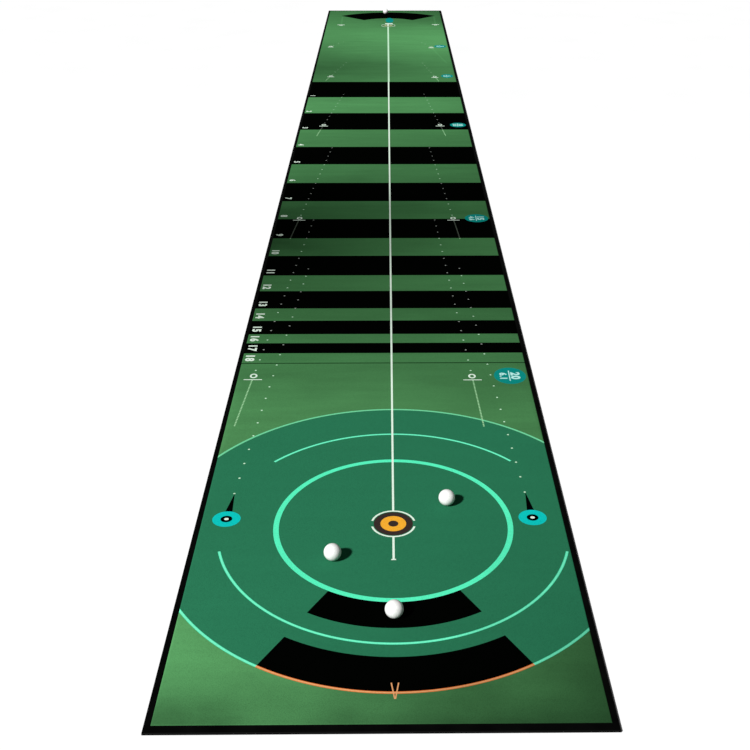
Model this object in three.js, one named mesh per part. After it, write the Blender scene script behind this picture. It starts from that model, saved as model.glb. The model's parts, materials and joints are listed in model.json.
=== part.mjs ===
// A long practice putting mat, with the four practice balls that lie on it.
//
// The mat is three bonded layers with a raised rubber border: a rubber backing
// sheet, the fabric that the tufts are sewn into, and the cut nylon pile. Each
// ball is a solid core in a cover that is moulded from two half cups.
//
// Millimetres, +Z up. +Y runs from the putting end to the far end, and the
// origin is the middle of the mat's underside.

import * as THREE from 'three';

// The mat, overall
const matLength = 8060;
const matWidth = 950;

// The mat's layers, from the floor up
const backingThickness = 2;
const fabricThickness = 0.5;
const pileHeight = 3.5;

// The rubber border, which stands on the edge of the backing sheet
const endBorderWidth = 20;
const sideBorderWidth = 14;
const borderHeight = 3.5;
const borderChamfer = 1;
const fieldGap = 0.25; // between the border and the tufted layers

// The balls
const ballDiameter = 42.67;
const coverThickness = 2;
const coreGap = 0.3; // between the core and the flat facets inside the cover
const ballRestGap = 0.05; // between a ball's lowest point and the pile
const facetsAround = 24;
const facetsPerQuarter = 6;

// Where the balls lie: x is from the mat's centre line, and the distances along
// the mat are from the end that each ball is nearer to
const nearBall = { x: 27, fromEnd: 342.5 };
const rightBall = { x: 166.5, fromEnd: 781 };
const leftBall = { x: -120.5, fromEnd: 552 };
const farBall = { x: 7, fromEnd: 172 };

// Worked out from the sizes above
const halfWidth = matWidth / 2;
const halfLength = matLength / 2;
const fieldWidth = matWidth - 2 * (sideBorderWidth + fieldGap);
const fieldLength = matLength - 2 * (endBorderWidth + fieldGap);
const fabricBottom = backingThickness;
const pileBottom = fabricBottom + fabricThickness;
const pileTop = pileBottom + pileHeight;
const ballRadius = ballDiameter / 2;
const cupRadius = ballRadius - coverThickness;
const halfFacet = Math.PI / facetsAround / 2;
const facetInset = Math.cos(2 * halfFacet) ** 2; // flat facets lie inside the round
const coreRadius = cupRadius * facetInset - coreGap;

// Materials
const rubber = new THREE.MeshStandardMaterial({ color: 0x0b0c0b, roughness: 0.8 });
const wovenFabric = new THREE.MeshStandardMaterial({ color: 0x8b8d86, roughness: 1 });
const greenPile = new THREE.MeshStandardMaterial({ color: 0x3d7a48, roughness: 1 });
const ballCover = new THREE.MeshStandardMaterial({ color: 0xf4f4f2, roughness: 0.35 });
const ballRubber = new THREE.MeshStandardMaterial({ color: 0x8c3a2f, roughness: 0.7 });

const mat = new THREE.Group();

function addMesh(parent, name, geometry, material) {
  const mesh = new THREE.Mesh(geometry, material);
  mesh.name = name;
  parent.add(mesh);
  return mesh;
}

// One flat layer, centred on the mat, with its underside at the height bottom.
function addLayer(name, width, length, thickness, bottom, material) {
  const layer = addMesh(mat, name, new THREE.BoxGeometry(width, length, thickness), material);
  layer.position.z = bottom + thickness / 2;
}

// One side of the border, along +X before it is turned, with its outer face at
// y = 0 and its inner face at y = width. The outer top edge is chamfered. Each
// end is mitred from corner to corner of the rectangle that it shares with the
// next strip, which is nextWidth wide.
function borderStrip(length, width, nextWidth) {
  const section = new THREE.Shape([
    new THREE.Vector2(0, 0),
    new THREE.Vector2(width, 0),
    new THREE.Vector2(width, borderHeight),
    new THREE.Vector2(borderChamfer, borderHeight),
    new THREE.Vector2(0, borderHeight - borderChamfer),
  ]);
  const strip = new THREE.ExtrudeGeometry(section, { depth: length, bevelEnabled: false });
  const points = strip.attributes.position;
  for (let i = 0; i < points.count; i += 1) {
    const inward = points.getX(i);
    const up = points.getY(i);
    const fromMiddle = points.getZ(i) - length / 2;
    const along = fromMiddle - Math.sign(fromMiddle) * inward * (nextWidth / width);
    points.setXYZ(i, along, inward, up);
  }
  strip.computeVertexNormals();
  return strip;
}

// The strip is turned about the mat's middle, so that its outer face is on the
// side that the name says.
function addBorder(name, strip, fromMiddle, turn) {
  const side = new THREE.Group();
  side.rotation.z = turn;
  mat.add(side);
  addMesh(side, name, strip, rubber).position.set(0, -fromMiddle, backingThickness);
}

// A round profile for a lathe, from the lowest point up to the equator.
function quarterArc(radius) {
  const points = [];
  for (let i = 0; i <= facetsPerQuarter; i += 1) {
    const angle = (i / facetsPerQuarter) * (Math.PI / 2);
    const onAxis = i === 0;
    const onEquator = i === facetsPerQuarter;
    const across = onAxis ? 0 : radius * Math.sin(angle);
    const up = onEquator ? 0 : -radius * Math.cos(angle);
    points.push(new THREE.Vector2(across, up));
  }
  return points;
}

// The lower half of a ball's cover, a cup that is open at the equator.
function coverCup() {
  const outside = quarterArc(ballRadius);
  const inside = quarterArc(cupRadius).reverse();
  return new THREE.LatheGeometry([...outside, ...inside], facetsAround);
}

function ballCore() {
  return new THREE.SphereGeometry(coreRadius, facetsAround, 2 * facetsPerQuarter);
}

// One ball, with its cover's seam level and its lowest point just over the pile.
function addBall(name, x, y) {
  const ball = new THREE.Group();
  ball.position.set(x, y, pileTop + ballRestGap + ballRadius);
  ball.rotation.x = Math.PI / 2;
  mat.add(ball);
  addMesh(ball, `${name}_core`, ballCore(), ballRubber);
  addMesh(ball, `${name}_cover_lower`, coverCup(), ballCover);
  const upper = addMesh(ball, `${name}_cover_upper`, coverCup(), ballCover);
  upper.rotation.x = Math.PI;
}

addLayer('rubber_backing', matWidth, matLength, backingThickness, 0, rubber);
addLayer('tufting_fabric', fieldWidth, fieldLength, fabricThickness, fabricBottom, wovenFabric);
addLayer('printed_pile', fieldWidth, fieldLength, pileHeight, pileBottom, greenPile);

const endStrip = borderStrip(matWidth, endBorderWidth, sideBorderWidth);
const sideStrip = borderStrip(matLength, sideBorderWidth, endBorderWidth);
addBorder('border_near', endStrip, halfLength, 0);
addBorder('border_right', sideStrip, halfWidth, Math.PI / 2);
addBorder('border_far', endStrip, halfLength, Math.PI);
addBorder('border_left', sideStrip, halfWidth, -Math.PI / 2);

addBall('near_ball', nearBall.x, nearBall.fromEnd - halfLength);
addBall('right_ball', rightBall.x, rightBall.fromEnd - halfLength);
addBall('left_ball', leftBall.x, leftBall.fromEnd - halfLength);
addBall('far_ball', farBall.x, halfLength - farBall.fromEnd);

export default mat;
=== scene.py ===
import itertools
import json

import bpy
import numpy as np
from mathutils import Matrix, Vector
from mathutils.geometry import delaunay_2d_cdt

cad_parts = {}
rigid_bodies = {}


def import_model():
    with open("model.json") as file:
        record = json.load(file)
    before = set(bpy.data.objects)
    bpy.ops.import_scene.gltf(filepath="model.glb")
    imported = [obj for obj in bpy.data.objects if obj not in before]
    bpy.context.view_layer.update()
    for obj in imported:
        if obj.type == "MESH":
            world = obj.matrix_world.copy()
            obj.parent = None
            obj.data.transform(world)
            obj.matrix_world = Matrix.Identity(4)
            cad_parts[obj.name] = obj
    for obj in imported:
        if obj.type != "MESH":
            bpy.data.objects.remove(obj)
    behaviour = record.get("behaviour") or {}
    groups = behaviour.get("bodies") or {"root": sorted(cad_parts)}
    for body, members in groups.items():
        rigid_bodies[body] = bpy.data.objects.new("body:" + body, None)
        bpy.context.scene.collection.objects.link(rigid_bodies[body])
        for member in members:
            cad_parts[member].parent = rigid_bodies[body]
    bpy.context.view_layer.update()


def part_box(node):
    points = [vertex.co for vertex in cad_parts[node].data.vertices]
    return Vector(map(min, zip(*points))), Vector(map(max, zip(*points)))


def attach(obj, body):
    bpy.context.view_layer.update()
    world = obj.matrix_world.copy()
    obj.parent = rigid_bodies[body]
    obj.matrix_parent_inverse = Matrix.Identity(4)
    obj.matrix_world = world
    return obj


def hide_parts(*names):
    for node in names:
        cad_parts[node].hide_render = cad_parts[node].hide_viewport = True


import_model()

# ---------------------------------------------------------------------------
# Rubber backing and border
# A nitrile rubber sheet with four mitred border strips pressed onto its edge.
# It is vulcanised in a flat press, so it is matt black with a fine grain.
# ---------------------------------------------------------------------------

RUBBER_PIECES = ("rubber_backing", "border_near", "border_right", "border_far", "border_left")


def linear(colour):
    """Linear RGBA of an sRGB hex colour: c / 12.92 in the toe, ((c + 0.055) / 1.055) ^ 2.4 above."""
    parts = [int(colour[i:i + 2], 16) / 255 for i in (0, 2, 4)]
    return [c / 12.92 if c <= 0.04045 else ((c + 0.055) / 1.055) ** 2.4 for c in parts] + [1.0]


def add(tree, kind, inputs=None, **settings):
    """A new node with its settings. An input is a value, or the socket it is linked from."""
    node = tree.nodes.new(kind)
    for name, value in settings.items():
        setattr(node, name, value)
    for name, value in (inputs or {}).items():
        if isinstance(value, bpy.types.NodeSocket):
            tree.links.new(value, node.inputs[name])
        else:
            node.inputs[name].default_value = value
    return node


def ramp(tree, factor, stops):
    """A colour ramp with the stops given as (place, linear colour)."""
    node = add(tree, "ShaderNodeValToRGB", {0: factor})
    elements = node.color_ramp.elements
    while len(elements) < len(stops):
        elements.new(1.0)
    for element, (place, colour) in zip(elements, stops):
        element.position = place
        element.color = colour
    return node.outputs["Color"]


def material(name, **sockets):
    """An empty node material: its tree, its Principled shader, and the piece's own coordinates."""
    made = bpy.data.materials.new(name)
    made.use_nodes = True
    tree = made.node_tree
    tree.nodes.clear()
    shader = add(tree, "ShaderNodeBsdfPrincipled", sockets)
    add(tree, "ShaderNodeOutputMaterial", {"Surface": shader.outputs["BSDF"]})
    place = add(tree, "ShaderNodeTexCoord").outputs["Object"]
    return made, tree, shader, place


def nitrile_rubber():
    """Pressed nitrile rubber: matt black, a 0.7 mm grain, and a little grey dust in soft patches."""
    made, tree, shader, place = material(
        "pressed_nitrile_rubber", **{"IOR": 1.52, "Specular IOR Level": 0.05}
    )
    grain = add(tree, "ShaderNodeTexNoise", {"Vector": place, "Scale": 1 / 0.0007, "Detail": 3.0})
    dust = add(tree, "ShaderNodeTexNoise", {"Vector": place, "Scale": 1 / 0.06, "Detail": 6.0})
    colour = ramp(tree, dust.outputs["Fac"], [(0.35, linear("010101")), (0.75, linear("050605"))])
    rough = add(tree, "ShaderNodeMapRange", {0: dust.outputs["Fac"], 3: 0.55, 4: 0.7})
    bump = add(
        tree, "ShaderNodeBump",
        {"Height": grain.outputs["Fac"], "Distance": 0.00008, "Strength": 0.6},
    )
    tree.links.new(colour, shader.inputs["Base Color"])
    tree.links.new(rough.outputs[0], shader.inputs["Roughness"])
    tree.links.new(bump.outputs["Normal"], shader.inputs["Normal"])
    return made


rubber = nitrile_rubber()
for name in RUBBER_PIECES:
    bpy.data.objects[name].material_slots[0].material = rubber

# ---------------------------------------------------------------------------
# Tufting fabric
# The non-woven polyester sheet that the tufts are needled into. It is bonded
# to the rubber, and only its cut edge can be seen, down in the border's gap.
# ---------------------------------------------------------------------------


def spunbond_polyester():
    """Spunbonded polyester: pressed random fibres, which give pale grey streaks a few mm long."""
    made, tree, shader, place = material("spunbond_polyester", Roughness=0.9)
    stretched = add(tree, "ShaderNodeMapping", {"Vector": place, "Scale": (1.0, 4.0, 1.0)})
    fibres = add(
        tree, "ShaderNodeTexNoise",
        {"Vector": stretched.outputs[0], "Scale": 1 / 0.004, "Detail": 5.0, "Distortion": 1.5},
    )
    colour = ramp(tree, fibres.outputs["Fac"], [(0.3, linear("75776F")), (0.7, linear("A5A69E"))])
    bump = add(
        tree, "ShaderNodeBump",
        {"Height": fibres.outputs["Fac"], "Distance": 0.0001, "Strength": 0.7},
    )
    tree.links.new(colour, shader.inputs["Base Color"])
    tree.links.new(bump.outputs["Normal"], shader.inputs["Normal"])
    return made


bpy.data.objects["tufting_fabric"].material_slots[0].material = spunbond_polyester()

# ---------------------------------------------------------------------------
# Printed pile: the layout of the print
# Short nylon pile, cut level and printed by dye jets. Sizes are in mm, x from
# the mat's centre line and y from 3.5 mm inside its near edge. A later shape
# prints over an earlier one. Every ink becomes a piece, so its edges stay sharp.
# ---------------------------------------------------------------------------

NEAR_HOLE = (27, 693)
FAR_HOLE = (28, 7380)
SEGMENT = 14  # the length of an arc's straight pieces, which is too short to see
FIGURE_WIDTH = 1.15  # how much wider than the typeface the figures are drawn

prints = []


def dye(ink, *outlines):
    """Prints closed outlines in one ink. A point is inside if it is inside an odd number of them."""
    prints.append((ink, [np.asarray(outline, float) for outline in outlines]))


def arc(centre, radius, start=0, end=360, step=SEGMENT):
    """Points on an arc: centre + radius (cos a, sin a), a from start to end in equal steps."""
    turn = np.radians(end - start)
    count = max(12, int(np.ceil(abs(turn) * radius / step)))
    angles = np.radians(start) + turn * np.arange(count + (end - start < 360)) / count
    return np.stack([np.cos(angles), np.sin(angles)], 1) * radius + centre


def disc(ink, centre, radius, hole=0, step=SEGMENT):
    """A printed disc, or a ring if it has a hole."""
    outlines = [arc(centre, radius, step=step)]
    if hole:
        outlines.append(arc(centre, hole, step=step))
    dye(ink, *outlines)


def oval(ink, centre, size, hole=None):
    """A printed oval, or an oval ring, from a unit circle: its half sizes across and along."""
    outlines = [arc((0, 0), 1, step=0.1) * half + centre for half in (size, hole) if half]
    dye(ink, *outlines)


def arc_band(ink, centre, inner, outer, start, end):
    """The part of a ring between two angles: out along one arc and back along the other."""
    dye(ink, np.concatenate([arc(centre, outer, start, end), arc(centre, inner, start, end)[::-1]]))


def bar(ink, a, b, width):
    """A straight line of one width: its two ends moved half the width to each side."""
    a, b = np.asarray(a, float), np.asarray(b, float)
    along = (b - a) / np.linalg.norm(b - a)
    side = np.array([-along[1], along[0]]) * width / 2
    dye(ink, [a + side, b + side, b - side, a - side])


def figures(ink, text, centre, height, weight=0.045):
    """Wide figures read from the right edge of the mat, so their tops point to +X. The outline is
    the boundary of the filled text: the edges that belong to one face only. weight is how far the
    strokes are thickened, for figures 1 high."""
    curve = bpy.data.curves.new("figures", "FONT")
    curve.body = text
    curve.align_x = "CENTER"
    curve.align_y = "CENTER"
    curve.offset = weight
    curve.space_character = 1.1
    curve.resolution_u = 3
    holder = bpy.data.objects.new("figures", curve)
    bpy.context.scene.collection.objects.link(holder)
    flat = holder.to_mesh()
    points = np.array([v.co[:2] for v in flat.vertices])
    sides = [tuple(sorted(key)) for face in flat.polygons for key in face.edge_keys]
    rims = [key for key in sides if sides.count(key) == 1]
    bpy.data.objects.remove(holder)
    bpy.data.curves.remove(curve)
    low, high = points.min(0), points.max(0)
    points = (points - (low + high) / 2) * height / (high[1] - low[1])
    placed = np.stack([centre[0] + points[:, 1], centre[1] - FIGURE_WIDTH * points[:, 0]], 1)
    prints.append((ink, [placed[list(key)] for key in rims]))


def line_width(y):
    """The lines of the putt get a little wider along the mat."""
    return 5 + y / 1800


# The radii of a printed hole's disc, ring and arcs
HOLE_DISC = 50
HOLE_RING = (13, 32.7)
HOLE_ARC = (52.5, 57.5)


def bullseye(centre, dark, light):
    """A hole as it is printed: dark disc, light ring, dark middle, and two white arcs round it."""
    disc(dark, centre, HOLE_DISC)
    disc(light, centre, HOLE_RING[1], hole=HOLE_RING[0], step=5)
    for start in (13, 193):
        arc_band("white", centre, *HOLE_ARC, start, start + 154)


def circle_centre(radius):
    """The print is a little stretched along the mat, so that a circle's centre lies radius^2 / 70 m
    nearer the player than the hole."""
    return NEAR_HOLE[0], NEAR_HOLE[1] - radius ** 2 / 70000


def circle_line(ink, radius, width, start, end):
    """A line along one of the circles round the near hole."""
    half = width / 2
    arc_band(ink, circle_centre(radius), radius - half, radius + half, start, end)


# The circles round the near hole, with the two black sectors on the near side. Most thin lines have
# a paler middle. The ends of arcs and sectors are angles in degrees from +X.
OUTER_CIRCLE = 585.5
MIDDLE_CIRCLE = 440.5
INNER_CIRCLE = 296.5
THIN_LINE = 6.6
THICK_LINE = 14
SECTOR = (239.7, 300.5)
INNER_SECTOR = (295, 391.5)
OUTER_SECTOR = (480, OUTER_CIRCLE)
OUTER_ARC = (SECTOR[1] - 360, SECTOR[0])
OUTER_FAR_ARC = (20, 160)
MIDDLE_ARCS = ((42, 138), (194.4, 344.8))
disc("teal", circle_centre(OUTER_CIRCLE), OUTER_CIRCLE)
arc_band("black", circle_centre(340), *INNER_SECTOR, *SECTOR)
arc_band("black", circle_centre(OUTER_CIRCLE), *OUTER_SECTOR, *SECTOR)
circle_line("turquoise", OUTER_CIRCLE, THIN_LINE, *OUTER_ARC)
circle_line("pale_turquoise", OUTER_CIRCLE, THIN_LINE * 0.6, *OUTER_ARC)
circle_line("jade", OUTER_CIRCLE, THIN_LINE, *OUTER_FAR_ARC)
circle_line("orange", OUTER_CIRCLE, THIN_LINE, *SECTOR)
circle_line("peach", OUTER_CIRCLE, THIN_LINE * 0.55, *SECTOR)
for arc_ends in MIDDLE_ARCS:
    circle_line("turquoise", MIDDLE_CIRCLE, THIN_LINE, *arc_ends)
    circle_line("pale_turquoise", MIDDLE_CIRCLE, THIN_LINE * 0.5, *arc_ends)
disc(
    "turquoise", circle_centre(INNER_CIRCLE), INNER_CIRCLE + THICK_LINE / 2,
    hole=INNER_CIRCLE - THICK_LINE / 2,
)

# The arrowhead on the outer circle, two strokes that nearly meet
ARROW_HALF_WIDTH = 7.7
ARROW_ENDS = (131, 85)
for side in (-ARROW_HALF_WIDTH, ARROW_HALF_WIDTH):
    bar(
        "peach", (NEAR_HOLE[0] + side, ARROW_ENDS[0]),
        (NEAR_HOLE[0] + side * 0.1, ARROW_ENDS[1]), 2.8,
    )

# Bands of growing width across the mat, numbered down from 18, every other one black
BAND_WIDTHS = (
    71.5, 75, 69, 108, 103, 155, 149, 200, 195, 232, 234, 263, 293, 303, 328, 351, 370, 398
)
BANDS_START = 1577.5
HALF_MAT = 475
band_edges = BANDS_START + np.concatenate([[0], np.cumsum(BAND_WIDTHS)])
black_bands = list(zip(band_edges[:-1], band_edges[1:]))[1::2]
bar("bottle_green", (-HALF_MAT, BANDS_START), (HALF_MAT, BANDS_START), 5)
for low, high in black_bands:
    bar("black", (0, low), (0, high), 2 * HALF_MAT)

# The black sector behind the far hole
FAR_SECTOR_Y = 7416
FAR_SECTOR = (275, 545)
arc_band("black", (FAR_HOLE[0], FAR_SECTOR_Y), *FAR_SECTOR, 45, 135)

# The line of the putt, from the near hole to the far one, and its short tail with a bar at the end.
# The line drifts a little to the left, and it is a pale green past the bands.
PUTT_X = NEAR_HOLE[0]
PUTT_START = NEAR_HOLE[1] + 55
PUTT_END = FAR_HOLE[1] + 50
PUTT_DRIFT = 1.5
TAIL_END = 547
start_half, end_half = line_width(PUTT_START) / 2, line_width(PUTT_END) / 2
dye("white", [
    (PUTT_X - start_half, PUTT_START), (PUTT_X + start_half, PUTT_START),
    (PUTT_X + end_half - PUTT_DRIFT, PUTT_END), (PUTT_X - end_half - PUTT_DRIFT, PUTT_END),
])
bar("pale_green", (PUTT_X, band_edges[-1]), (PUTT_X, PUTT_END), line_width(PUTT_END) * 1.2)
bar("white", (PUTT_X, PUTT_START - 110), (PUTT_X, TAIL_END), line_width(PUTT_START))
bar("white", (PUTT_X - 5.8, TAIL_END - 1), (PUTT_X + 5.8, TAIL_END - 1), 4.5)

# Start marks left and right at five distances, each a small ring before a bar, with a dashed tail,
# and dots from the mark to the far hole. A row is the distance in feet and in metres, the left and
# the right ring, and how far behind them the tails end, or 0 for none.
MARKS = (
    (20, "6.1", (-412, 1491), (282, 1485), 312),
    (15, "4.6", (-367, 2946), (301, 2943), 250),
    (10, "3.0", (-337, 4454), (310, 4454), 222),
    (6, "1.8", (-350, 5640), (327, 5620), 135),
    (3, "0.9", (-392, 6580), (338, 6550), 0),
)
DOT_PITCH = 73.6
DOT_RADIUS = 3.1
DASH_PITCH = 9
DASH_SHARE = 0.6
MARK_RING = (12, 15)
MARK_RING_HOLE = (6.5, 8.5)
MARK_BAR_BEHIND = 25


def mark_ink(y, on_green, on_black):
    """A pale dye shows less where it is printed over a black band."""
    return on_black if any(low < y < high for low, high in black_bands) else on_green


def dots(start, first, count):
    """Dots at one pitch along the straight line from a mark to the far hole."""
    start = np.asarray(start, float)
    along = (FAR_HOLE - start) / np.linalg.norm(FAR_HOLE - start)
    for distance in first + DOT_PITCH * np.arange(count):
        place = start + along * distance
        disc(mark_ink(place[1], "pale_green", "ash_grey"), place, DOT_RADIUS, step=3)


def dashes(start, end, width, ink=None):
    """A line of short dashes, each a share of its pitch long."""
    start, end = np.asarray(start, float), np.asarray(end, float)
    length = np.linalg.norm(end - start)
    along = (end - start) / length
    for distance in np.arange(0, length, DASH_PITCH):
        a = start + along * distance
        dash_ink = ink or mark_ink(a[1], "leaf_green", "slate_grey")
        bar(dash_ink, a, a + along * DASH_PITCH * DASH_SHARE, width)


def start_mark(centre, across=29, ahead=1):
    """The ball's ring, and the bar behind it, which is thicker the farther it is from the near end.
    across is half the bar's length, and ahead is 1 for a putt to the far end."""
    oval("white", centre, MARK_RING, hole=MARK_RING_HOLE)
    y = centre[1] - MARK_BAR_BEHIND * ahead
    bar("white", (centre[0] - across, y), (centre[0] + across, y), 4 + (y / 2300) ** 2)


for feet, _, left, right, tail in MARKS:
    for mark in (left, right):
        away = np.asarray(mark, float) - FAR_HOLE
        away /= np.linalg.norm(away)
        dots(mark, 38, feet)
        if tail:
            dashes(mark + away * (MARK_BAR_BEHIND + 3), mark + away * tail, 4.5)
        start_mark(mark, across=31.5 - mark[1] / 600)

# The right 3 ft mark's faint tail, and two marks beside the far hole for putts the other way
FAR_TAIL_END = 7778
dashes((340, 6520), (425, 6017), 6, "mint")
for mark in ((-347, 7385), (404, 7400)):
    dashes((mark[0], mark[1] + 35), (mark[0], FAR_TAIL_END), 12, "mint")
    start_mark(mark, ahead=-1)

# The two aiming discs beside the near hole, each with a black pointer to the far hole, and dots
AIM_DISC = (("cyan", (36, 33.5)), ("black", (15, 14)), ("white", (6, 5)))
POINTER_BASE = 25
POINTER_TIP = 116
POINTER_HALF_WIDTH = 10
for centre in ((-399, 716), (384, 717)):
    aim = FAR_HOLE - np.asarray(centre, float)
    aim /= np.linalg.norm(aim)
    side = np.array([aim[1], -aim[0]]) * POINTER_HALF_WIDTH
    base = centre + aim * POINTER_BASE
    dots((centre[0] - 1, centre[1]), POINTER_TIP - 1, 22)
    dye("black", [base - side, base + side, centre + aim * POINTER_TIP])
    for ink, size in AIM_DISC:
        oval(ink, centre, size)

bullseye(NEAR_HOLE, "umber", "amber")
bullseye(FAR_HOLE, "fern", "sand")
far_bar = (FAR_HOLE[0] - 2, PUTT_END - 80), (FAR_HOLE[0] - 2, PUTT_END + 10)
bar("white", *far_bar, line_width(PUTT_END))

# Distance labels, ovals with feet over metres, each given by its place across the mat and its half
# sizes. Behind the far hole are a plain oval and a bar.
LABELS = ((403, 51, 55), (403, 51, 50), (410, 44, 44), (408, 39, 50), (404, 44, 50))

for (feet, metres, left, _, _), (x, across, along) in zip(MARKS, LABELS):
    y = left[1] - 4
    oval("lagoon", (x, y), (across, along))
    figures("ice", str(feet), (x + across * 0.34, y), across * 0.6)
    bar("ice", (x - 2, y - along * 0.62), (x - 2, y + along * 0.62), 3.5)
    figures("ice", metres, (x - across * 0.41, y), across * 0.48)
oval("lagoon", (FAR_HOLE[0] + 10, 7600), (32, 105))
bar("white", (FAR_HOLE[0] - 25, 7457), (FAR_HOLE[0] + 35, 7457), 36)

# The bands' numbers, down the left edge, each just inside its band's near side
NUMBER_HEIGHT = 31
NUMBER_X = -437
for index, (low, width) in enumerate(zip(band_edges, BAND_WIDTHS)):
    number = str(len(BAND_WIDTHS) - index)
    figures("white", number, (NUMBER_X, low + min(width / 2, 40)), NUMBER_HEIGHT)

# ---------------------------------------------------------------------------
# Printed pile: the mesh
# The tufts stand level with each other, and lean over in the last 3 mm before
# the border. One flat mesh follows every printed outline, and is then taken
# apart by ink. A plain block under it is the tufts' depth.
# ---------------------------------------------------------------------------

SHOULDER = 3.0
SHOULDER_DROP = 1.6
SHOULDER_LINES = (0, 0.25, 0.7, 1.4, SHOULDER)
PRINT_INSET = 3.5
MERGE_DISTANCE = 0.002

mat_low, mat_high = (np.array(corner) * 1000 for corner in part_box("rubber_backing"))
pile_low, pile_high = (np.array(corner) * 1000 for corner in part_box("printed_pile"))
print_origin = np.array([(mat_low[0] + mat_high[0]) / 2, mat_low[1] + PRINT_INSET])
field_low = pile_low[:2] - print_origin
field_high = pile_high[:2] - print_origin


def rectangle(inset):
    """The pile's outline moved in by inset."""
    low, high = field_low + inset, field_high - inset
    return np.array([low, (high[0], low[1]), high, (low[0], high[1])])


def closed_edges(outline):
    """An outline's edges as pairs of points. One of two points is an edge already."""
    if len(outline) == 2:
        return outline[None]
    return np.stack([outline, np.roll(outline, -1, 0)], 1)


def inside(points, edges):
    """Which points have an odd number of edges to their right."""
    (x1, y1), (x2, y2) = edges[:, 0].T[:, None], edges[:, 1].T[:, None]
    x, y = points[:, 0, None], points[:, 1, None]
    spans = (y1 > y) != (y2 > y)
    with np.errstate(divide="ignore", invalid="ignore"):
        right = x < (x2 - x1) * (y - y1) / (y2 - y1) + x1
    return (spans & right).sum(1) % 2 == 1


def triangulate(shapes):
    """A Delaunay mesh that has every outline among its edges, as (points, triangles)."""
    lines = [closed_edges(o) for _, outlines in shapes for o in outlines]
    lines += [closed_edges(rectangle(inset)) for inset in SHOULDER_LINES]
    ends = np.concatenate(lines).reshape(-1, 2)
    pairs = np.arange(len(ends)).reshape(-1, 2)
    found = delaunay_2d_cdt([Vector(p) for p in ends.tolist()], pairs.tolist(), [], 0, MERGE_DISTANCE)
    return np.array([tuple(p) for p in found[0]]), np.array(found[2])


def pile_height(points):
    """The pile's top in mm: level, and a quarter of an ellipse down to the edge in its shoulder."""
    from_edge = np.minimum(points - field_low, field_high - points).min(1)
    t = np.clip(1 - from_edge / SHOULDER, 0, 1)
    return pile_high[2] - SHOULDER_DROP * (1 - np.sqrt(1 - t ** 2))


def piece(name, points, faces, smooth=True):
    """An object at the origin from points in metres and a list or array of faces."""
    mesh = bpy.data.meshes.new(name)
    mesh.from_pydata(np.asarray(points).tolist(), [], np.asarray(faces).tolist())
    mesh.polygons.foreach_set("use_smooth", [smooth] * len(mesh.polygons))
    mesh.update()
    made = bpy.data.objects.new(name, mesh)
    bpy.context.scene.collection.objects.link(made)
    return made


plan, triangles = triangulate(prints)
middles = plan[triangles].mean(1)
kept = ((middles > field_low) & (middles < field_high)).all(1)
triangles, middles = triangles[kept], middles[kept]
ink_of = np.full(len(triangles), "grass", dtype="<U16")
for ink, outlines in prints:
    edges = np.concatenate([closed_edges(outline) for outline in outlines])
    low, high = edges.min((0, 1)), edges.max((0, 1))
    near = np.flatnonzero(((middles > low) & (middles < high)).all(1))
    ink_of[near[inside(middles[near], edges)]] = ink

surface = np.column_stack([plan + print_origin, pile_height(plan)]) / 1000
inks = {}
for ink in np.unique(ink_of):
    used, faces = np.unique(triangles[ink_of == ink], return_inverse=True)
    inks[str(ink)] = piece(f"pile_{ink}", surface[used], faces.reshape(-1, 3))


def block(name, low, high):
    """A closed box of six faces, each pointing out."""
    corners = [[(low, high)[i][0], (low, high)[j][1], (low, high)[k][2]]
               for i, j, k in itertools.product((0, 1), repeat=3)]
    faces = [(0, 1, 3, 2), (4, 6, 7, 5), (0, 4, 5, 1), (2, 3, 7, 6), (0, 2, 6, 4), (1, 5, 7, 3)]
    return piece(name, corners, faces, smooth=False)


tuft_top = pile_high[2] - SHOULDER_DROP
tufts = block("pile_tufts", pile_low / 1000, np.array([*pile_high[:2], tuft_top]) / 1000)

# ---------------------------------------------------------------------------
# Printed pile: the material
# Cut nylon 6.6, space-dyed by the printer. Fine tufts give it a soft, matt
# surface. Its colour has painted light and shade: lighter and darker zones along the mat and
# across it, for the light that the lying pile catches, and painted shade round each tuft.
# ---------------------------------------------------------------------------

TUFT = 0.0019
FIBRE = 0.0004
INK_COLOURS = {
    "grass": "477F4D",
    "mint": "53925A",
    "teal": "2A7553",
    "black": "020302",
    "bottle_green": "0B2A10",
    "turquoise": "5CFCC4",
    "jade": "76DCA4",
    "pale_turquoise": "82FFD0",
    "white": "ECFFEE",
    "ice": "C8FFF8",
    "pale_green": "CFF8D6",
    "leaf_green": "A9DFA9",
    "ash_grey": "A5AAA4",
    "slate_grey": "5A6358",
    "fern": "4F7A4C",
    "sand": "A9B483",
    "orange": "EC7838",
    "peach": "F0AC74",
    "amber": "FDB334",
    "umber": "3B2F2C",
    "cyan": "0ECBC4",
    "lagoon": "0E938A",
}
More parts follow.
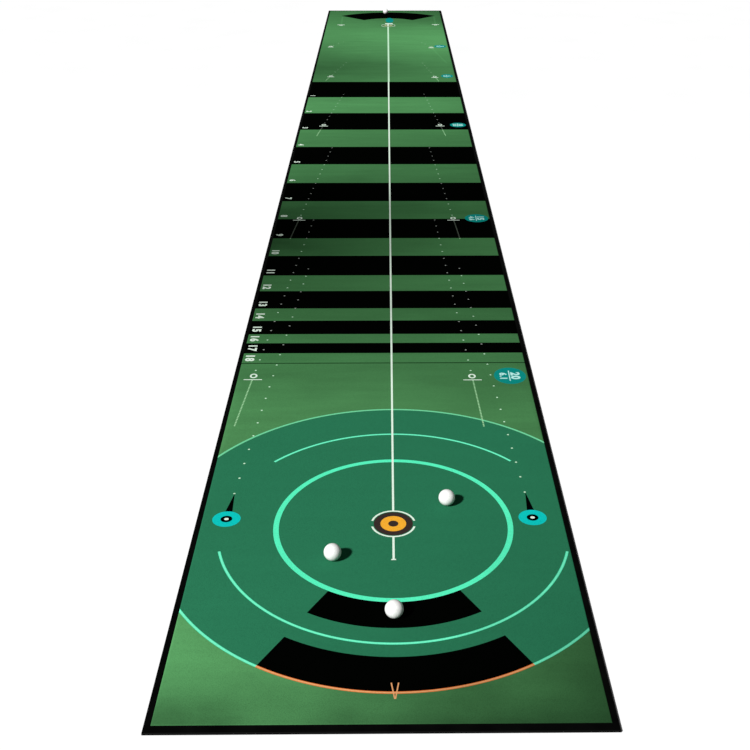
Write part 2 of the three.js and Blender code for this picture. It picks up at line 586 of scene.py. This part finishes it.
# Painted light and shade of the lying pile: how light the colour is painted along the mat, from the
# near end to the far one, with painted shade at the near edge, and how much lighter its right side is
# painted than its left
PAINTED_LIGHT_ALONG = (
    (0.0, 0.52), (0.01, 0.84), (0.022, 1.13), (0.05, 1.2), (0.16, 1.15), (0.18, 0.9), (0.205, 0.9),
    (0.24, 0.66), (0.28, 0.66), (0.32, 0.46), (0.38, 0.39), (0.445, 0.84), (0.52, 0.98),
    (0.61, 1.41), (0.70, 0.90), (0.735, 0.83), (0.80, 1.33), (0.855, 1.6), (0.90, 1.42),
    (0.94, 1.02), (1.0, 0.8),
)
PAINTED_LIGHT_TILT = (
    (0.0, -0.62), (0.03, -0.58), (0.10, -0.15), (0.24, 0.0), (0.28, 0.24), (0.325, 0.6),
    (0.38, 0.29), (0.445, -0.08), (0.61, -0.05), (0.70, 0.21), (0.73, 0.3), (0.78, 0.22),
    (0.86, 0.12), (0.90, 0.03), (0.94, -0.15), (1.0, -0.1),
)
PAINTED_LIGHT_SCALE = 2.0  # a ramp's colours stop at 1, so it holds the painted light's level divided by this
PAINTED_LIGHT_WANDER = 0.05
# How strongly an ink shows the pile's painted light and shade, and the lightest level of it that the
# ink shows
SHOWS_PAINTED_LIGHT = {
    "grass": (1.0, 2.0), "mint": (1.0, 2.0), "fern": (1.0, 2.0), "bottle_green": (0.6, 2.0),
    "teal": (0.25, 2.0),
}
PALE_INK_SHOWS_PAINTED_LIGHT = (0.85, 1.0)


def maths(tree, operation, a, b, c=0.0):
    """One step of arithmetic on values or sockets."""
    return add(tree, "ShaderNodeMath", {0: a, 1: b, 2: c}, operation=operation).outputs[0]


def nap(tree, place):
    """Painted light and shade of the pile, for the light that the lying pile catches: its level along
    the mat, times one plus its tilt times the distance right of the centre line as a part of the half
    width, and times fine painted streaks."""
    parts = add(tree, "ShaderNodeSeparateXYZ", {0: place})
    along = add(
        tree, "ShaderNodeMapRange",
        {0: parts.outputs["Y"], 1: mat_low[1] / 1000, 2: mat_high[1] / 1000,
         3: -PAINTED_LIGHT_WANDER / 2, 4: 1 - PAINTED_LIGHT_WANDER / 2},
    )
    wander = add(tree, "ShaderNodeTexNoise", {"Vector": place, "Scale": 1 / 0.35, "Detail": 3.0})
    shaken = maths(tree, "MULTIPLY_ADD", wander.outputs["Fac"], PAINTED_LIGHT_WANDER, along.outputs[0])
    level = ramp(tree, shaken, [(p, [v / PAINTED_LIGHT_SCALE] * 3 + [1]) for p, v in PAINTED_LIGHT_ALONG])
    tilt = ramp(tree, shaken, [(p, [0.5 + v / 2] * 3 + [1]) for p, v in PAINTED_LIGHT_TILT])
    signed = maths(tree, "MULTIPLY_ADD", tilt, 2.0, -1.0)
    across = maths(tree, "MULTIPLY", parts.outputs["X"], 1000 / mat_high[0])
    painted_side_tilt = maths(tree, "MULTIPLY_ADD", signed, across, 1.0)
    stretched = add(tree, "ShaderNodeMapping", {"Vector": place, "Scale": (1.2, 9.0, 1.0)})
    streaks = add(
        tree, "ShaderNodeTexNoise",
        {"Vector": stretched.outputs[0], "Scale": 2.0, "Detail": 5.0, "Roughness": 0.6},
    )
    streak = add(
        tree, "ShaderNodeMapRange",
        {0: streaks.outputs["Fac"], 1: 0.3, 2: 0.7, 3: 0.92 * PAINTED_LIGHT_SCALE, 4: 1.08 * PAINTED_LIGHT_SCALE},
    )
    return maths(tree, "MULTIPLY", maths(tree, "MULTIPLY", level, painted_side_tilt), streak.outputs[0])


def printed_nylon(name, colour, shows, lightest):
    """Printed cut pile: tufts 1.9 mm apart, each with painted shade round its edge, and the ends of
    their fibres, 0.4 mm across and longer along the mat, the way the pile lies. The ink's colour is
    painted lighter or darker by the pile's painted light and shade, as far as the ink shows it."""
    made, tree, shader, place = material(
        f"printed_nylon_{name}", **{"Roughness": 1.0, "Specular IOR Level": 0.0}
    )
    # Painted light and shade of the pile, as far as this ink shows it
    painted_light_shown = add(
        tree, "ShaderNodeMapRange",
        {0: nap(tree, place), 1: 0.0, 2: lightest, 3: 1 - shows, 4: 1 + shows * (lightest - 1)},
    )
    cells = add(
        tree, "ShaderNodeTexVoronoi", {"Vector": place, "Scale": 1 / TUFT, "Randomness": 1.0}
    )
    distance = cells.outputs["Distance"]
    # Painted shade round each tuft's edge, where the tufts shade each other
    tuft_edge_shade = add(tree, "ShaderNodeMapRange", {0: distance, 1: 0.0, 2: 0.8, 3: 1.03, 4: 0.76})
    lying = add(tree, "ShaderNodeMapping", {"Vector": place, "Scale": (1.0, 0.4, 1.0)})
    fibres = add(
        tree, "ShaderNodeTexNoise",
        {"Vector": lying.outputs[0], "Scale": 1 / FIBRE, "Detail": 3.0, "Roughness": 0.7},
    )
    fibre = fibres.outputs["Fac"]
    ends = add(tree, "ShaderNodeMapRange", {0: fibre, 1: 0.3, 2: 0.7, 3: 0.8, 4: 1.2})
    tuft_shade_and_fibre_tone = maths(tree, "MULTIPLY", tuft_edge_shade.outputs[0], ends.outputs[0])
    shade = maths(tree, "MULTIPLY", painted_light_shown.outputs[0], tuft_shade_and_fibre_tone)
    dyed = add(
        tree, "ShaderNodeVectorMath", {0: linear(colour)[:3], "Scale": shade}, operation="SCALE"
    )
    height = maths(tree, "MULTIPLY_ADD", distance, -0.25, fibre)
    bump = add(tree, "ShaderNodeBump", {"Height": height, "Distance": 0.0006, "Strength": 0.6})
    tree.links.new(dyed.outputs[0], shader.inputs["Base Color"])
    tree.links.new(bump.outputs["Normal"], shader.inputs["Normal"])
    return made


for ink, made in inks.items():
    shows, lightest = SHOWS_PAINTED_LIGHT.get(ink, PALE_INK_SHOWS_PAINTED_LIGHT)
    made.data.materials.append(printed_nylon(ink, INK_COLOURS[ink], shows, lightest))
    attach(made, "mat")
tufts.data.materials.append(inks["grass"].data.materials[0])
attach(tufts, "mat")
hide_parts("printed_pile")

# ---------------------------------------------------------------------------
# Golf balls
# Two-piece balls: a rubber core in a cover of two ionomer cups, which are
# fused under heat, so the cover is one dimpled skin with a glossy white coat.
# ---------------------------------------------------------------------------

BALLS = ("near_ball", "right_ball", "left_ball", "far_ball")
DIMPLE_RADIUS = 1.72
DIMPLE_DEPTH = 0.16
DIMPLE_ROWS = 6
PANEL_CELLS = 88


def cube_sphere(cells):
    """Unit directions and faces of a sphere made of six square grids. A grid point (u, v), both
    from -45 to 45 degrees, is (tan u, tan v, 1) made of unit length, turned to its cube face."""
    angles = np.linspace(-np.pi / 4, np.pi / 4, cells + 1)
    u, v = np.meshgrid(np.tan(angles), np.tan(angles), indexing="ij")
    front = np.stack([u, v, np.ones_like(u)], 2).reshape(-1, 3)
    front /= np.linalg.norm(front, axis=1)[:, None]
    start = np.arange(cells)[:, None] * (cells + 1) + np.arange(cells)
    square = np.stack([start, start + cells + 1, start + cells + 2, start + 1], 2).reshape(-1, 4)
    x, y, z = front.T
    panels = [(x, y, z), (y, x, -z), (z, x, y), (-z, y, x), (y, z, x), (x, -z, y)]
    every = np.concatenate([np.stack(panel, 1) for panel in panels])
    faces = np.concatenate([square + i * len(front) for i in range(6)])
    _, first, same = np.unique(np.round(every, 7), axis=0, return_index=True, return_inverse=True)
    return every[first], same.reshape(-1)[faces]


def dimple_centres(rows):
    """Unit directions to the dimples: the corners of an icosahedron whose twenty faces are each
    cut into rows x rows triangles, pushed out onto the sphere."""
    golden = (1 + 5 ** 0.5) / 2
    signs = list(itertools.product((-1, 1), repeat=2))
    corners = np.array(
        [p for a, b in signs for p in ((0, a, b * golden), (a, b * golden, 0), (b * golden, 0, a))]
    )
    centres = []
    for three in itertools.combinations(corners, 3):
        if all(abs(np.linalg.norm(p - q) - 2) < 1e-6 for p, q in itertools.combinations(three, 2)):
            for i in range(rows + 1):
                for j in range(rows + 1 - i):
                    centres.append(np.dot([i, j, rows - i - j], three))
    centres = np.array(centres)
    centres /= np.linalg.norm(centres, axis=1)[:, None]
    return np.unique(np.round(centres, 6), axis=0)


def dimpled(directions, radius, turn):
    """The cover's surface in mm: the radius, less the depth of a shallow round bowl where a
    direction is within a dimple, D (1 - (d / r)^2) at the distance d from its centre."""
    centres = dimple_centres(DIMPLE_ROWS) @ np.array(Matrix.Rotation(turn, 3, (1, 2, 3)))
    nearest = (directions @ centres.T).max(1)
    from_centre = radius * np.arccos(np.clip(nearest, -1, 1))
    bowl = np.clip(1 - (from_centre / DIMPLE_RADIUS) ** 2, 0, 1)
    return directions * (radius - DIMPLE_DEPTH * bowl)[:, None]


def ionomer_cover():
    """Injection-moulded ionomer under a clear urethane coat: white, with a soft, even gloss."""
    made, tree, shader, place = material(
        "coated_ionomer",
        **{"IOR": 1.5, "Specular IOR Level": 0.4, "Coat Weight": 0.25, "Coat Roughness": 0.2},
    )
    wear = add(tree, "ShaderNodeTexNoise", {"Vector": place, "Scale": 1 / 0.009, "Detail": 6.0})
    colour = ramp(tree, wear.outputs["Fac"], [(0.3, linear("E8E8E5")), (0.62, linear("F3F3F1"))])
    rough = add(tree, "ShaderNodeMapRange", {0: wear.outputs["Fac"], 3: 0.5, 4: 0.36})
    tree.links.new(colour, shader.inputs["Base Color"])
    tree.links.new(rough.outputs[0], shader.inputs["Roughness"])
    return made


def core_rubber():
    """Moulded polybutadiene: dull brick red, faintly cloudy. The cover hides it."""
    made, tree, shader, place = material("moulded_polybutadiene", Roughness=0.75)
    cloud = add(tree, "ShaderNodeTexNoise", {"Vector": place, "Scale": 1 / 0.006, "Detail": 4.0})
    colour = ramp(tree, cloud.outputs["Fac"], [(0.3, linear("7E3428")), (0.7, linear("944236"))])
    tree.links.new(colour, shader.inputs["Base Color"])
    return made


cover = ionomer_cover()
core = core_rubber()
sphere, quads = cube_sphere(PANEL_CELLS)
for number, name in enumerate(BALLS):
    lower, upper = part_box(f"{name}_cover_lower"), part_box(f"{name}_cover_upper")
    middle = np.array([(lower[0][i] + upper[1][i]) / 2 for i in range(3)])
    radius = (upper[1][2] - lower[0][2]) / 2 * 1000
    skin = dimpled(sphere, radius, turn=0.7 + number) / 1000 + middle
    ball = piece(f"{name}_cover", skin, quads)
    ball.data.materials.append(cover)
    bpy.data.objects[f"{name}_core"].material_slots[0].material = core
    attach(ball, f"{name}_shell")
    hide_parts(f"{name}_cover_lower", f"{name}_cover_upper")

# ---------------------------------------------------------------------------
# Floor, light and camera
# A plain white studio floor, one large lamp to the left and behind the viewer,
# and an even white surround that fills the shadows a little.
# ---------------------------------------------------------------------------


def studio_floor():
    """Matt white paint on a studio floor, with the least unevenness from its roller."""
    made, tree, shader, place = material("studio_floor_paint", Roughness=0.9)
    roller = add(tree, "ShaderNodeTexNoise", {"Vector": place, "Scale": 3.0, "Detail": 2.0})
    colour = ramp(tree, roller.outputs["Fac"], [(0.3, linear("F7F7F7")), (0.7, linear("FAFAFA"))])
    tree.links.new(colour, shader.inputs["Base Color"])
    return made


# The floor is wide enough to look endless from low down, and a hair below the mat
FLOOR_SIZE = 400
FLOOR_DROP = 0.0002
edge = FLOOR_SIZE / 2
floor = piece(
    "studio_floor",
    [(-edge, -edge, -FLOOR_DROP), (edge, -edge, -FLOOR_DROP),
     (edge, edge, -FLOOR_DROP), (-edge, edge, -FLOOR_DROP)],
    [(0, 1, 2, 3)], smooth=False,
)
floor.data.materials.append(studio_floor())

LAMP_ELEVATION = np.radians(40)
LAMP_STRENGTH = 4.98
LAMP_WIDTH = np.radians(5)  # as seen from the mat, which softens the shadows' edges
lamp_side = np.array([-0.73, -0.68]) * np.cos(LAMP_ELEVATION)
lamp = bpy.data.objects.new("studio_lamp", bpy.data.lights.new("studio_lamp", "SUN"))
lamp.data.energy = LAMP_STRENGTH
lamp.data.angle = LAMP_WIDTH
lamp.rotation_euler = Vector((*lamp_side, np.sin(LAMP_ELEVATION))).to_track_quat("Z", "Y").to_euler()
bpy.context.scene.collection.objects.link(lamp)

# The surround is as white as the floor to look at, and gives little light, as a studio's backdrop
SURROUND_LIGHT = 0.08
world = bpy.data.worlds.new("studio_surround")
world.use_nodes = True
seen = add(world.node_tree, "ShaderNodeLightPath").outputs["Is Camera Ray"]
strength = maths(world.node_tree, "MULTIPLY_ADD", seen, 1 - SURROUND_LIGHT, SURROUND_LIGHT)
backdrop = world.node_tree.nodes["Background"]
backdrop.inputs["Color"].default_value = (1, 1, 1, 1)
world.node_tree.links.new(strength, backdrop.inputs["Strength"])
bpy.context.scene.world = world
bpy.context.scene.view_settings.view_transform = "Standard"

# The camera is at a standing player's eye height, 1.6 m behind the near end, looking down 28 degrees.
# Its angle of view is 37.8 degrees.
EYE = (0.0138, -1.5798, 1.6470)
PITCH_DOWN = 28.095
TURN_RIGHT = 0.622
ROLL = 0.111
camera = bpy.data.objects.new("camera", bpy.data.cameras.new("camera"))
camera.data.sensor_width = 36
camera.data.lens = 52.51
camera.data.shift_x = -0.0308
camera.data.clip_end = 1000
place = Vector((EYE[0] + print_origin[0] / 1000, EYE[1] + print_origin[1] / 1000, EYE[2]))
heading = Matrix.Rotation(np.radians(-TURN_RIGHT), 4, "Z")
pitch = Matrix.Rotation(np.radians(90 - PITCH_DOWN), 4, "X")
level = Matrix.Rotation(np.radians(ROLL), 4, "Z")
camera.matrix_world = Matrix.Translation(place) @ heading @ pitch @ level
bpy.context.scene.collection.objects.link(camera)
bpy.context.scene.camera = camera
